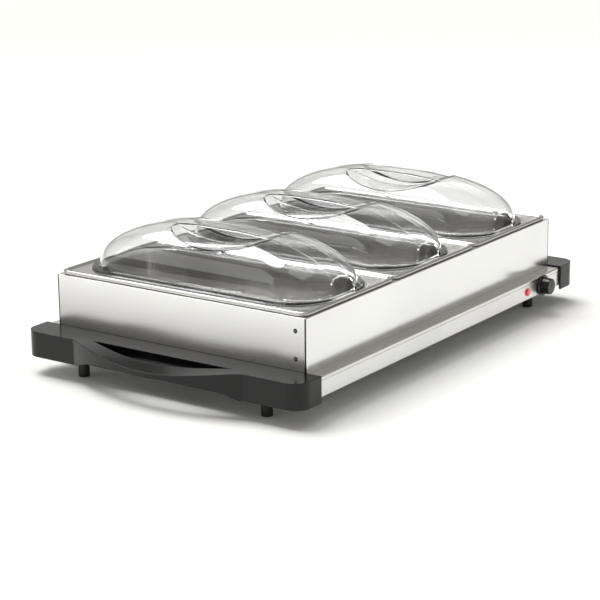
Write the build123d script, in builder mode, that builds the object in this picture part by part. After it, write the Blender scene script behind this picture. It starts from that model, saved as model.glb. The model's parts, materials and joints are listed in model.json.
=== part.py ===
from build123d import *
import os

os.makedirs("parts", exist_ok=True)

# Three-pan buffet server: a flat electric warming tray on four feet, a lift-off stainless frame
# that stands on the tray, three deep pans hung side by side in the frame, and a clear domed lid
# on each pan.
# +X runs to the right along the control side, -Y is the control side, +Z is up.
# The origin is at the centre of the footprint, on the table.

# ---------------------------------------------------------------- driving dimensions, in mm
sheet = 0.9              # stainless sheet of the tray plate and the buffet frame
slip = 0.1               # clearance where one piece slides inside another

tray_length = 624.7      # over both end handles
tray_width = 378.2       # over both rails
tray_height = 50.6       # working surface above the table

frame_length = 546.4
frame_width = 345.0
frame_height = 61.4

pan_pitch = 180.8        # three pans side by side
overall_height = 174.0   # lid crest above the table

knob_x = 227.3           # control knob on the front rail
knob_z = 37.5
lamp_x = 189.4           # red indicator lamp beside it
lamp_z = 36.9
gland_x = 190.0          # mains cord gland in the rear rail
gland_z = 37.5

# ---------------------------------------------------------------- worked-out places
frame_top = tray_height + frame_height
frame_x = frame_length / 2
frame_y = frame_width / 2
tray_y = tray_width / 2
handle_x = tray_length / 2
pan_places = [("left", -pan_pitch), ("middle", 0.0), ("right", pan_pitch)]
both_sides = (-1, 1)

# ================================================================ warming tray
# ---------------------------------------------------------------- tray plate
lip_height = 5.0         # turned-down front and rear edges
plate_x = 282.0          # the plate's ends are tucked under the end handles
fold_radius = 1.6

with BuildPart() as tray_top_plate:
    with BuildSketch(Plane.XY.offset(tray_height - lip_height)):
        Rectangle(2 * plate_x, tray_width)
    extrude(amount=lip_height)
    top_edges = tray_top_plate.edges().filter_by(Axis.X).group_by(Axis.Z)[-1]
    fillet(top_edges, radius=fold_radius)
    with BuildSketch(Plane.XY.offset(tray_height - lip_height)):
        Rectangle(2 * plate_x, tray_width - 2 * sheet)
    extrude(amount=lip_height - sheet, mode=Mode.SUBTRACT)
tray_top_plate.part.label = "tray_top_plate"
export_step(tray_top_plate.part, "parts/tray_top_plate.step")

# ---------------------------------------------------------------- front and rear rails
rail_bottom = 27.3
rail_wall = 2.0
rail_face = tray_y - 0.4           # flush with the plate's lip but for a hair
rail_back = rail_face - rail_wall
rail_tongue = tray_y - sheet - slip
rail_step = tray_height - lip_height - slip
rail_top = tray_height - sheet - slip
rail_flange = 14.0                 # inward foot that the bottom cover is screwed to
rail_x = 281.0
cover_z = rail_bottom + rail_wall

rail_screw_y = rail_face - 9.0
rail_screw_xs = (-160.0, 0.0, 160.0)
rail_screw_places = [(x, side * rail_screw_y) for x in rail_screw_xs for side in both_sides]
screw_radius = 1.5
screw_hole = screw_radius + slip

bush_radius = 4.9                  # threaded nose of the thermostat
lamp_stem_radius = 3.8
gland_radius = 6.5


def across(x, y, z, outward):
    """A plane that faces along +Y or -Y, for what is set in a rail."""
    return Plane(origin=(x, y, z), x_dir=(1, 0, 0), z_dir=(0, outward, 0))


rail_holes = {
    -1: [(knob_x, knob_z, bush_radius + slip), (lamp_x, lamp_z, lamp_stem_radius + slip)],
    1: [(gland_x, gland_z, gland_radius + slip)],
}

for name, side in (("front_rail", -1), ("rear_rail", 1)):
    with BuildPart() as rail:
        with BuildSketch(Plane.YZ.offset(-rail_x)):
            with BuildLine():
                Polyline(
                    (side * rail_face, rail_bottom),
                    (side * rail_face, rail_step),
                    (side * rail_tongue, rail_step),
                    (side * rail_tongue, rail_top),
                    (side * rail_back, rail_top),
                    (side * rail_back, cover_z),
                    (side * (rail_face - rail_flange), cover_z),
                    (side * (rail_face - rail_flange), rail_bottom),
                    close=True,
                )
            make_face()
        extrude(amount=2 * rail_x)
        for x, z, radius in rail_holes[side]:
            with BuildSketch(across(x, side * rail_face, z, side)):
                Circle(radius)
            extrude(amount=rail_wall, both=True, mode=Mode.SUBTRACT)
        with BuildSketch(Plane.XY.offset(rail_bottom)):
            with Locations([place for place in rail_screw_places if place[1] * side > 0]):
                Circle(screw_hole)
        extrude(amount=rail_wall, mode=Mode.SUBTRACT)
    rail.part.label = name
    export_step(rail.part, f"parts/{name}.step")

# ---------------------------------------------------------------- bottom cover
cover_x = 281.0
cover_y = rail_back - slip
tab_x = 293.5                      # four tabs at each end carry the end handles
inner_tab_y = 70.0
inner_tab_width = 20.0
outer_tab_y = 139.0                # the outer tabs are broad enough for the left feet too
outer_tab_width = 44.0
boss_x = 289.0
boss_ys = (-150.0, -inner_tab_y, inner_tab_y, 150.0)
boss_places = [(side * boss_x, y) for side in both_sides for y in boss_ys]
left_foot_x = -284.0
left_foot_y = 128.4
right_foot_x = 249.0               # the right feet stand further in, behind the controls
right_foot_y = 157.0
foot_places = [
    (left_foot_x, -left_foot_y),
    (left_foot_x, left_foot_y),
    (right_foot_x, -right_foot_y),
    (right_foot_x, right_foot_y),
]
foot_screw_radius = 2.0

with BuildPart() as bottom_cover:
    with BuildSketch(Plane.XY.offset(cover_z)):
        Rectangle(2 * cover_x, 2 * cover_y)
        for end in both_sides:
            for side in both_sides:
                with Locations((end * (tab_x + cover_x) / 2, side * inner_tab_y)):
                    Rectangle(tab_x - cover_x, inner_tab_width)
                with Locations((end * (tab_x + cover_x) / 2, side * outer_tab_y)):
                    Rectangle(tab_x - cover_x, outer_tab_width)
        with Locations(rail_screw_places):
            Circle(screw_hole, mode=Mode.SUBTRACT)
        with Locations(boss_places):
            Circle(screw_hole, mode=Mode.SUBTRACT)
        with Locations(foot_places):
            Circle(foot_screw_radius + slip, mode=Mode.SUBTRACT)
    extrude(amount=sheet)
bottom_cover.part.label = "bottom_cover"
export_step(bottom_cover.part, "parts/bottom_cover.step")

# ---------------------------------------------------------------- end handles
cap_bottom = 22.1
deck_height = 52.2
cap_wall = 3.0
cap_y = tray_y + 2.5               # the handle sleeves over the rails
cap_lip_x = 272.6                  # where the sleeve stops along each rail
deck_x = frame_x + 0.5             # the deck stops just short of the frame
sleeve_x = plate_x + 0.3           # depth of the pocket that holds the tray
corner_radius = 18.0
boss_radius = 4.5
hollow_length = handle_x - cap_wall - cap_lip_x

grip_x = 303.5                     # straight edge of the deck, along the finger slot
grip_bow = 26.0                    # how far the grip bar bows out past the handle's face
grip_half = 118.0                  # where the bow leaves the face
grip_fall = 10.8                   # fall of the bar's outer edge below the deck at mid grip
bar_x = handle_x + grip_bow
slot_half = 97.0                   # crescent finger slot between the deck and the grip bar
slot_bow = 18.0
underside_half = 113.0             # the bar's underside arches up to make room for the fingers
underside_rise = 13.3
underside_shoulder = 88.0
underside_shoulder_rise = 8.9
grip_block_half = grip_half + cap_wall
overcut = 2.0                      # how far a cutting shape runs past what it cuts
grip_bow_reach = bar_x - grip_x    # from the deck's edge to the bar's outer edge
least_fall = 0.02                  # keeps the cut's first section an arc
grip_root_x = grip_x - cap_wall
deck_play = 1.0                    # play around the frame where the deck is cut back
boss_bore = screw_radius + 0.05
boss_bore_depth = 15.0

for name, side in (("left_end_handle", -1), ("right_end_handle", 1)):
    with BuildPart() as handle:
        # outer block with two rounded free corners
        with BuildSketch(Plane.XY.offset(cap_bottom)):
            with Locations((side * (cap_lip_x + handle_x) / 2, 0)):
                Rectangle(handle_x - cap_lip_x, 2 * cap_y)
        extrude(amount=deck_height - cap_bottom)
        free_corners = handle.edges().filter_by(Axis.Z).group_by(Axis.X)[0 if side < 0 else -1]
        fillet(free_corners, radius=corner_radius)
        # the grip bar bows out of the face
        with BuildSketch(Plane.XY.offset(cap_bottom)):
            with BuildLine():
                ThreePointArc(
                    (side * handle_x, -grip_half),
                    (side * bar_x, 0),
                    (side * handle_x, grip_half),
                )
                Polyline(
                    (side * handle_x, grip_half),
                    (side * grip_x, grip_half),
                    (side * grip_x, -grip_half),
                    (side * handle_x, -grip_half),
                )
            make_face()
        extrude(amount=deck_height - cap_bottom)
        # its top falls away from the deck's edge to a hanging outer edge
        cut_x = bar_x + overcut
        cut_fall = grip_fall * (cut_x - grip_x) / grip_bow_reach
        for x, fall in ((grip_x, least_fall), (cut_x, cut_fall)):
            with BuildSketch(Plane.YZ.offset(side * x)):
                with BuildLine():
                    ThreePointArc(
                        (-grip_half, deck_height),
                        (0, deck_height - fall),
                        (grip_half, deck_height),
                    )
                    Polyline(
                        (grip_half, deck_height),
                        (grip_half, deck_height + overcut),
                        (-grip_half, deck_height + overcut),
                        (-grip_half, deck_height),
                    )
                make_face()
        loft(ruled=True, mode=Mode.SUBTRACT)
        # crescent slot between the deck and the grip bar
        with BuildSketch(Plane.XY.offset(cap_bottom)):
            with BuildLine():
                ThreePointArc(
                    (side * grip_x, -slot_half),
                    (side * (grip_x + slot_bow), 0),
                    (side * grip_x, slot_half),
                )
                Line((side * grip_x, slot_half), (side * grip_x, -slot_half))
            make_face()
        extrude(amount=deck_height - cap_bottom + overcut, mode=Mode.SUBTRACT)
        # arched underside of the grip bar
        with BuildSketch(Plane.YZ.offset(side * grip_x)):
            with BuildLine():
                Spline(
                    (-underside_half, cap_bottom),
                    (-underside_shoulder, cap_bottom + underside_shoulder_rise),
                    (0, cap_bottom + underside_rise),
                    (underside_shoulder, cap_bottom + underside_shoulder_rise),
                    (underside_half, cap_bottom),
                )
                Polyline(
                    (underside_half, cap_bottom),
                    (underside_half, cap_bottom - overcut),
                    (-underside_half, cap_bottom - overcut),
                    (-underside_half, cap_bottom),
                )
            make_face()
        extrude(amount=side * (cut_x - grip_x), mode=Mode.SUBTRACT)
        # hollow of the moulding, left solid around the grip bar
        with BuildSketch(Plane.XY.offset(cap_bottom)):
            with Locations((side * (cap_lip_x + handle_x - cap_wall) / 2, 0)):
                RectangleRounded(hollow_length, 2 * (cap_y - cap_wall), corner_radius - cap_wall)
            with Locations((side * (grip_root_x + handle_x) / 2, 0)):
                Rectangle(handle_x - grip_root_x, 2 * grip_block_half, mode=Mode.SUBTRACT)
        extrude(amount=deck_height - cap_wall - cap_bottom, mode=Mode.SUBTRACT)
        # pocket that sleeves over the tray plate and the rails
        with BuildSketch(Plane.XY.offset(cap_bottom)):
            with Locations((side * (cap_lip_x + sleeve_x) / 2, 0)):
                Rectangle(sleeve_x - cap_lip_x, tray_width + 2 * slip)
        extrude(amount=tray_height + slip - cap_bottom, mode=Mode.SUBTRACT)
        # the deck is cut back to let the frame stand between its two ends
        with BuildSketch(Plane.XY.offset(tray_height)):
            with Locations((side * (cap_lip_x + deck_x) / 2, 0)):
                Rectangle(deck_x - cap_lip_x, frame_width + deck_play)
        extrude(amount=deck_height - tray_height, mode=Mode.SUBTRACT)
        # screw bosses hanging from the deck
        with BuildSketch(Plane.XY.offset(cover_z + sheet + slip)):
            with Locations([place for place in boss_places if place[0] * side > 0]):
                Circle(boss_radius)
        extrude(amount=deck_height - cap_wall - cover_z - sheet - slip)
        with BuildSketch(Plane.XY.offset(cover_z)):
            with Locations([place for place in boss_places if place[0] * side > 0]):
                Circle(boss_bore)
        extrude(amount=boss_bore_depth, mode=Mode.SUBTRACT)
    handle.part.label = name
    export_step(handle.part, f"parts/{name}.step")

# ---------------------------------------------------------------- feet
foot_radius = 6.5
foot_chamfer = 0.8
foot_bore = foot_screw_radius + 0.05
foot_bore_depth = 18.0
foot_names = ("foot_left_front", "foot_left_rear", "foot_right_front", "foot_right_rear")

for (x, y), name in zip(foot_places, foot_names):
    with BuildPart() as foot:
        with BuildSketch(Plane.XY):
            with Locations((x, y)):
                Circle(foot_radius)
        extrude(amount=cover_z)
        chamfer(foot.faces().sort_by(Axis.Z)[0].edges(), length=foot_chamfer)
        with BuildSketch(Plane.XY.offset(cover_z)):
            with Locations((x, y)):
                Circle(foot_bore)
        extrude(amount=-foot_bore_depth, mode=Mode.SUBTRACT)
    foot.part.label = name
    export_step(foot.part, f"parts/{name}.step")

# ---------------------------------------------------------------- fasteners of the tray
head_height = 1.5
small_head = 2.9
large_head = 3.6
foot_grip = foot_bore_depth - 1.0  # how far the screws reach into the feet
boss_grip = boss_bore_depth - 1.0
rail_screw_tip = 2.0               # thread showing above the cover


def screw_group(places, seat_z, tip_z, shank_radius, head_radius):
    """Identical pan-head screws: head outside the seat, shank running to tip_z."""
    head_side = 1 if seat_z > tip_z else -1
    with BuildPart() as screws:
        with BuildSketch(Plane.XY.offset(seat_z)):
            with Locations(places):
                Circle(head_radius)
        extrude(amount=head_side * head_height)
        with BuildSketch(Plane.XY.offset(seat_z)):
            with Locations(places):
                Circle(shank_radius)
        extrude(amount=tip_z - seat_z)
    return screws


foot_screws = screw_group(foot_places, cover_z + sheet, cover_z - foot_grip, foot_screw_radius, large_head)
foot_screws.part.label = "foot_screws"
export_step(foot_screws.part, "parts/foot_screws.step")

handle_screws = screw_group(boss_places, cover_z, cover_z + boss_grip, screw_radius, small_head)
handle_screws.part.label = "handle_screws"
export_step(handle_screws.part, "parts/handle_screws.step")

rail_tip_z = cover_z + sheet + rail_screw_tip
rail_screws = screw_group(rail_screw_places, rail_bottom, rail_tip_z, screw_radius, small_head)
rail_screws.part.label = "rail_screws"
export_step(rail_screws.part, "parts/rail_screws.step")

# ---------------------------------------------------------------- heater stack under the plate
spreader_thick = 1.4
spreader_x = 258.0
spreader_y = 145.0
spreader_corner = 12.0
spreader_z = tray_height - sheet - spreader_thick
element_radius = 3.2
element_z = spreader_z - element_radius - slip
run_x = 240.0
run_ys = (-105.0, -35.0, 35.0, 105.0)
element_end_x = run_x + 20.0       # the two cold ends
inner_bend_x = run_x - 15.0        # the middle bend stops short of the thermal cut-out
bend_radius = 30.0
reflector_z = 37.2
reflector_thick = 0.6
reflector_x = 246.0
reflector_y = 142.0
reflector_leg = 20.0
reflector_leg_xs = (-220.0, 0.0, 120.0)

with BuildPart() as heat_spreader:
    with BuildSketch(Plane.XY.offset(spreader_z)):
        RectangleRounded(2 * spreader_x, 2 * spreader_y, spreader_corner)
    extrude(amount=spreader_thick)
heat_spreader.part.label = "heat_spreader"
export_step(heat_spreader.part, "parts/heat_spreader.step")

with BuildPart() as heating_element:
    with BuildLine() as element_path:
        FilletPolyline(
            (element_end_x, run_ys[0], element_z),
            (-run_x, run_ys[0], element_z),
            (-run_x, run_ys[1], element_z),
            (inner_bend_x, run_ys[1], element_z),
            (inner_bend_x, run_ys[2], element_z),
            (-run_x, run_ys[2], element_z),
            (-run_x, run_ys[3], element_z),
            (element_end_x, run_ys[3], element_z),
            radius=bend_radius,
        )
    with BuildSketch(Plane(origin=(element_end_x, run_ys[0], element_z), z_dir=(-1, 0, 0))):
        Circle(element_radius)
    sweep(path=element_path.wires()[0])
heating_element.part.label = "heating_element"
export_step(heating_element.part, "parts/heating_element.step")

clip_wall = 0.8
clip_width = 10.0
clip_foot = 18.0
clip_xs = (-150.0, 0.0, 150.0)
clip_places = [(x, y) for x in clip_xs for y in run_ys]

with BuildPart() as element_clips:
    for x, y in clip_places:
        with BuildSketch(Plane.YZ.offset(x - clip_width / 2)):
            with Locations((y, element_z)):
                Circle(element_radius + slip + clip_wall)
            with Locations((y, spreader_z - clip_wall / 2)):
                Rectangle(clip_foot, clip_wall)
            with Locations((y, spreader_z + element_radius)):
                Rectangle(2 * clip_foot, 2 * element_radius, mode=Mode.SUBTRACT)
            with Locations((y, element_z)):
                Circle(element_radius + slip, mode=Mode.SUBTRACT)
            with Locations((y, spreader_z)):
                Rectangle(element_radius, 2 * slip, mode=Mode.SUBTRACT)
        extrude(amount=clip_width)
element_clips.part.label = "element_clips"
export_step(element_clips.part, "parts/element_clips.step")

with BuildPart() as heat_reflector:
    with BuildSketch(Plane.XY.offset(reflector_z)):
        Rectangle(2 * reflector_x, 2 * reflector_y)
    extrude(amount=reflector_thick)
    # six folded legs stand on the bottom cover
    leg_y = reflector_y - reflector_thick / 2
    with BuildSketch(Plane.XY.offset(cover_z + sheet)):
        with Locations([(x, side * leg_y) for x in reflector_leg_xs for side in both_sides]):
            Rectangle(reflector_leg, reflector_thick)
    extrude(amount=reflector_z - cover_z - sheet)
heat_reflector.part.label = "heat_reflector"
export_step(heat_reflector.part, "parts/heat_reflector.step")

# ---------------------------------------------------------------- thermostat and knob
shaft_radius = 3.0
running = 0.05                     # radial clearance of the turning shaft
nut_thick = 1.8
nut_size = 7.0
nut_bore = bush_radius + 0.02
thermostat_width = 30.0
thermostat_height = 15.0
thermostat_depth = 24.0
thermostat_rise = 1.5              # the block sits a little above its nose
bush_nose_y = -(rail_face + 2.4)
shaft_bore_depth = 16.0

with BuildPart() as thermostat_body:
    with BuildSketch(across(knob_x, -rail_back, knob_z + thermostat_rise, 1)):
        RectangleRounded(thermostat_width, thermostat_height, fold_radius)
    extrude(amount=thermostat_depth)
    with BuildSketch(across(knob_x, -rail_back, knob_z, -1)):
        Circle(bush_radius)
    extrude(amount=-rail_back - bush_nose_y)
    with BuildSketch(across(knob_x, bush_nose_y, knob_z, 1)):
        Circle(shaft_radius + running)
    extrude(amount=shaft_bore_depth, mode=Mode.SUBTRACT)
thermostat_body.part.label = "thermostat_body"
export_step(thermostat_body.part, "parts/thermostat_body.step")

with BuildPart() as thermostat_nut:
    with BuildSketch(across(knob_x, -rail_face, knob_z, -1)):
        RegularPolygon(nut_size, 6)
        Circle(nut_bore, mode=Mode.SUBTRACT)
    extrude(amount=nut_thick)
thermostat_nut.part.label = "thermostat_nut"
export_step(thermostat_nut.part, "parts/thermostat_nut.step")

knob_face_y = -(tray_y + 13.4)
skirt_back_y = -(tray_y + 1.2)
skirt_radius = 13.2
skirt_thick = 1.8
skirt_bevel = 0.7
nut_room = 8.2                     # recess that lets the knob sit over the nut
nut_room_depth = 2.0
knob_radius = 9.7
knob_flare = 10.8
knob_round = 1.0
knob_back_y = skirt_back_y - skirt_thick
bore_mouth_y = knob_back_y - nut_room_depth
pointer_width = 1.4
pointer_depth = 0.6
pointer_length = 9.0
shaft_inner_y = bush_nose_y + shaft_bore_depth - 1.0
shaft_outer_y = knob_face_y + 3.0
flat_cut = 0.8                     # flat that keys the knob to its shaft
knob_bore = shaft_radius + 0.03

with BuildPart() as thermostat_shaft:
    with BuildSketch(across(knob_x, shaft_inner_y, knob_z, -1)):
        Circle(shaft_radius)
    extrude(amount=shaft_inner_y - shaft_outer_y)
    with BuildSketch(across(knob_x, bore_mouth_y, knob_z, -1)):
        with Locations((0, -shaft_radius)):
            Rectangle(2 * shaft_radius, 2 * flat_cut)
    extrude(amount=bore_mouth_y - knob_face_y, mode=Mode.SUBTRACT)
thermostat_shaft.part.label = "thermostat_shaft"
export_step(thermostat_shaft.part, "parts/thermostat_shaft.step")

with BuildPart() as knob_skirt:
    with BuildSketch(across(knob_x, skirt_back_y, knob_z, -1)):
        Circle(skirt_radius)
        Circle(nut_room, mode=Mode.SUBTRACT)
    extrude(amount=skirt_thick)
    chamfer(knob_skirt.faces().sort_by(Axis.Y)[0].edges().sort_by(SortBy.RADIUS)[-1], length=skirt_bevel)
knob_skirt.part.label = "knob_skirt"
export_step(knob_skirt.part, "parts/knob_skirt.step")

with BuildPart() as control_knob:
    with BuildSketch(across(knob_x, knob_back_y, knob_z, -1)):
        Circle(knob_flare)
    with BuildSketch(across(knob_x, knob_face_y, knob_z, -1)):
        Circle(knob_radius)
    loft()
    fillet(control_knob.faces().sort_by(Axis.Y)[0].edges(), radius=knob_round)
    # pointer groove across the face
    with BuildSketch(across(knob_x, knob_face_y, knob_z, -1)):
        with Locations((0, pointer_length / 2)):
            Rectangle(pointer_width, pointer_length)
    extrude(amount=-pointer_depth, mode=Mode.SUBTRACT)
    # recess over the nut, and the keyed bore
    with BuildSketch(across(knob_x, knob_back_y, knob_z, -1)):
        Circle(nut_room)
    extrude(amount=nut_room_depth, mode=Mode.SUBTRACT)
    with BuildSketch(across(knob_x, bore_mouth_y, knob_z, -1)):
        Circle(knob_bore)
        with Locations((0, -knob_bore)):
            Rectangle(2 * shaft_radius, 2 * flat_cut, mode=Mode.SUBTRACT)
    extrude(amount=bore_mouth_y - shaft_outer_y, mode=Mode.SUBTRACT)
control_knob.part.label = "control_knob"
export_step(control_knob.part, "parts/control_knob.step")

# ---------------------------------------------------------------- indicator lamp
lens_radius = 4.7
lens_rim = 1.2
lens_seat = 0.8                    # rim of the bezel left around the lens
lens_dome = 1.6
lens_round = 1.2
lens_plug = 4.0
stem_depth = 12.0
stem_wall = 0.7
bulb_radius = 2.2
bulb_length = 14.0
bulb_y = -rail_face + 4.5

with BuildPart() as indicator_bezel:
    with BuildSketch(across(lamp_x, -rail_face, lamp_z, -1)):
        Circle(lens_radius)
    extrude(amount=lens_rim)
    with BuildSketch(across(lamp_x, -rail_face, lamp_z, 1)):
        Circle(lamp_stem_radius)
    extrude(amount=stem_depth)
    with BuildSketch(across(lamp_x, -rail_face - lens_rim, lamp_z, 1)):
        Circle(lamp_stem_radius - stem_wall)
    extrude(amount=stem_depth + 2 * lens_rim, mode=Mode.SUBTRACT)
indicator_bezel.part.label = "indicator_bezel"
export_step(indicator_bezel.part, "parts/indicator_bezel.step")

with BuildPart() as indicator_lens:
    with BuildSketch(across(lamp_x, -rail_face - lens_rim, lamp_z, -1)):
        Circle(lens_radius - lens_seat)
    extrude(amount=lens_dome)
    fillet(indicator_lens.faces().sort_by(Axis.Y)[0].edges(), radius=lens_round)
    with BuildSketch(across(lamp_x, -rail_face - lens_rim, lamp_z, 1)):
        Circle(lamp_stem_radius - stem_wall - 0.05)
    extrude(amount=lens_plug)
indicator_lens.part.label = "indicator_lens"
export_step(indicator_lens.part, "parts/indicator_lens.step")

with BuildPart() as indicator_bulb:
    with BuildSketch(across(lamp_x, bulb_y, lamp_z, 1)):
        Circle(bulb_radius)
    extrude(amount=bulb_length)
indicator_bulb.part.label = "indicator_bulb"
export_step(indicator_bulb.part, "parts/indicator_bulb.step")

# ---------------------------------------------------------------- mains side
cord_hole = 3.7                    # clear bore for a round mains cord
gland_flange = 7.8
gland_flange_thick = 2.4
gland_inner_y = rail_back - 4.0
gland_flange_y = rail_face + gland_flange_thick
gland_nose_y = -knob_face_y

with BuildPart() as cord_gland:
    with BuildSketch(across(gland_x, gland_inner_y, gland_z, 1)):
        Circle(gland_radius)
    extrude(amount=rail_face - gland_inner_y)
    with BuildSketch(across(gland_x, rail_face, gland_z, 1)):
        Circle(gland_flange)
    extrude(amount=gland_flange_thick)
    with BuildSketch(across(gland_x, gland_flange_y, gland_z, 1)):
        Circle(gland_radius + 0.5)
    with BuildSketch(across(gland_x, gland_nose_y, gland_z, 1)):
        Circle(gland_radius - 0.8)
    loft()
    with BuildSketch(across(gland_x, gland_nose_y, gland_z, -1)):
        Circle(cord_hole)
    extrude(amount=gland_nose_y - gland_inner_y, mode=Mode.SUBTRACT)
cord_gland.part.label = "cord_gland"
export_step(cord_gland.part, "parts/cord_gland.step")

block_y = 158.0
block_length = 36.0
block_width = 14.0
block_height = 12.0
terminal_pitch = 11.0
terminal_row = 8.0
terminal_radius = 2.0
terminal_depth = 4.0
cutout_radius = 7.0
cutout_height = 5.0
cutout_x = run_x + 4.0
cutout_y = 70.0

with BuildPart() as terminal_block:
    with BuildSketch(Plane.XY.offset(cover_z + sheet)):
        with Locations((gland_x, block_y)):
            Rectangle(block_length, block_width)
    extrude(amount=block_height)
    with BuildSketch(Plane.XY.offset(cover_z + sheet + block_height)):
        with GridLocations(terminal_pitch, terminal_row, 3, 2):
            with Locations((gland_x, block_y)):
                Circle(terminal_radius)
    extrude(amount=-terminal_depth, mode=Mode.SUBTRACT)
terminal_block.part.label = "terminal_block"
export_step(terminal_block.part, "parts/terminal_block.step")

with BuildPart() as thermal_cutout:
    with BuildSketch(Plane.XY.offset(spreader_z)):
        with Locations((cutout_x, cutout_y)):
            Circle(cutout_radius)
    extrude(amount=-cutout_height)
thermal_cutout.part.label = "thermal_cutout"
export_step(thermal_cutout.part, "parts/thermal_cutout.step")

lead_radius = 1.3
lead_bend = 5.0
lead_z = 33.5
lead_rise_z = 38.5
lead_turn_x = run_x + 33.0         # the two power leads turn up here to the element's ends
terminal_x = element_end_x + 1.0
block_front_y = block_y - block_width / 2 - 1.0
thermostat_back_y = thermostat_depth - rail_back + 1.3
terminal_places = (gland_x - 10.0, gland_x, gland_x + 10.0)
supply_x = knob_x + 7.0
neutral_x = knob_x - 7.0
lead_routes = [
    # terminal block to the rear end of the element
    [
        (terminal_places[2], block_front_y, lead_z),
        (terminal_places[2], 125.0, lead_z),
        (lead_turn_x - 20.0, 125.0, lead_z),
        (lead_turn_x, 118.0, lead_rise_z),
        (lead_turn_x, run_ys[3], element_z),
        (terminal_x, run_ys[3], element_z),
    ],
    # thermostat to the front end of the element
    [
        (supply_x, thermostat_back_y, lead_z),
        (supply_x, -135.0, lead_z),
        (lead_turn_x - 23.0, -122.0, lead_z),
        (lead_turn_x, -118.0, lead_rise_z),
        (lead_turn_x, run_ys[0], element_z),
        (terminal_x, run_ys[0], element_z),
    ],
    # terminal block to the thermostat
    [
        (terminal_places[1], block_front_y, lead_z),
        (terminal_places[1], 110.0, lead_z),
        (neutral_x, 60.0, lead_z),
        (neutral_x, thermostat_back_y, lead_z),
    ],
    # terminal block to the lamp
    [
        (terminal_places[0], block_front_y, lead_z),
        (terminal_places[0], -120.0, lead_z),
        (lamp_x, -150.0, lead_z),
        (lamp_x, bulb_y + bulb_length + 1.0, lamp_z),
    ],
]

with BuildPart() as internal_leads:
    for route in lead_routes:
        with BuildLine() as lead_path:
            FilletPolyline(*route, radius=lead_bend)
        wire = lead_path.wires()[0]
        with BuildSketch(Plane(origin=wire @ 0, z_dir=wire % 0)):
            Circle(lead_radius)
        sweep(path=wire)
internal_leads.part.label = "internal_leads"
export_step(internal_leads.part, "parts/internal_leads.step")

# ================================================================ buffet frame
flange_depth = 12.0                # inward flanges that carry the pans and stand on the tray
return_depth = 24.0                # end tabs of the long panels, fixed behind the end panels
return_x = frame_x - sheet - slip
corner_gap = 2.0
rivet_y = frame_y - 13.7
rivet_drops = (15.3, 46.3)
# the front corners are riveted, the rear ones are spot welded
rivet_places = [
    (side_x, -rivet_y, frame_top - drop)
    for side_x in both_sides
    for drop in rivet_drops
]
rivet_radius = 1.6
rivet_hole = rivet_radius + 0.05

for name, side in (("front_panel", -1), ("rear_panel", 1)):
    with BuildPart() as panel:
        with BuildSketch(Plane.XY.offset(tray_height)):
            with Locations((0, side * (frame_y - return_depth / 2))):
                Rectangle(2 * return_x, return_depth)
        extrude(amount=frame_height)
        outer_corners = panel.edges().filter_by(Axis.Z).group_by(Axis.Y)[0 if side < 0 else -1]
        fillet(outer_corners, radius=fold_radius)
        # hollow between the flanges
        with BuildSketch(Plane.XY.offset(tray_height + sheet)):
            with Locations((0, side * (frame_y - sheet - return_depth / 2))):
                Rectangle(2 * (return_x - sheet), return_depth)
        extrude(amount=frame_height - 2 * sheet, mode=Mode.SUBTRACT)
        # the flanges stop short of the end tabs' reach
        with BuildSketch(Plane.XY.offset(tray_height)):
            with Locations((0, side * (frame_y - flange_depth - return_depth / 2))):
                Rectangle(2 * (return_x - sheet), return_depth)
        extrude(amount=frame_height, mode=Mode.SUBTRACT)
        # the end tabs clear the end panels' flanges
        for z in (tray_height, frame_top - sheet - slip):
            with BuildSketch(Plane.XY.offset(z)):
                with Locations((0, side * (frame_y - flange_depth - return_depth / 2))):
                    Rectangle(2 * frame_x, return_depth)
            extrude(amount=sheet + slip, mode=Mode.SUBTRACT)
        for x, y, z in rivet_places:
            if y * side > 0:
                with BuildSketch(Plane.YZ.offset(x * return_x)):
                    with Locations((y, z)):
                        Circle(rivet_hole)
                extrude(amount=2 * sheet, both=True, mode=Mode.SUBTRACT)
    panel.part.label = name
    export_step(panel.part, f"parts/{name}.step")

for name, side in (("left_end_panel", -1), ("right_end_panel", 1)):
    with BuildPart() as panel:
        with BuildSketch(Plane.XY.offset(tray_height)):
            with Locations((side * (frame_x - flange_depth / 2), 0)):
                Rectangle(flange_depth, frame_width - 2 * corner_gap)
        extrude(amount=frame_height)
        with BuildSketch(Plane.XY.offset(tray_height + sheet)):
            with Locations((side * (frame_x - sheet - flange_depth / 2), 0)):
                Rectangle(flange_depth, frame_width)
        extrude(amount=frame_height - 2 * sheet, mode=Mode.SUBTRACT)
        # flanges are notched where the long panels' flanges pass
        with BuildSketch(Plane.XY.offset(tray_height)):
            with GridLocations(0, frame_width - flange_depth, 1, 2):
                with Locations((side * (frame_x - sheet - flange_depth / 2), 0)):
                    Rectangle(flange_depth, flange_depth + 2 * slip)
        extrude(amount=frame_height, mode=Mode.SUBTRACT)
        with BuildSketch(Plane.YZ.offset(side * frame_x)):
            with Locations([(y, z) for x, y, z in rivet_places if x == side]):
                Circle(rivet_hole)
        extrude(amount=2 * sheet, both=True, mode=Mode.SUBTRACT)
    panel.part.label = name
    export_step(panel.part, f"parts/{name}.step")

divider_width = 22.0
divider_leg = 10.0
divider_y = frame_y - flange_depth - slip
divider_tab = 10.0                 # overlap under the long panels' flanges
divider_reach = frame_y - sheet - 1.0

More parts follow.
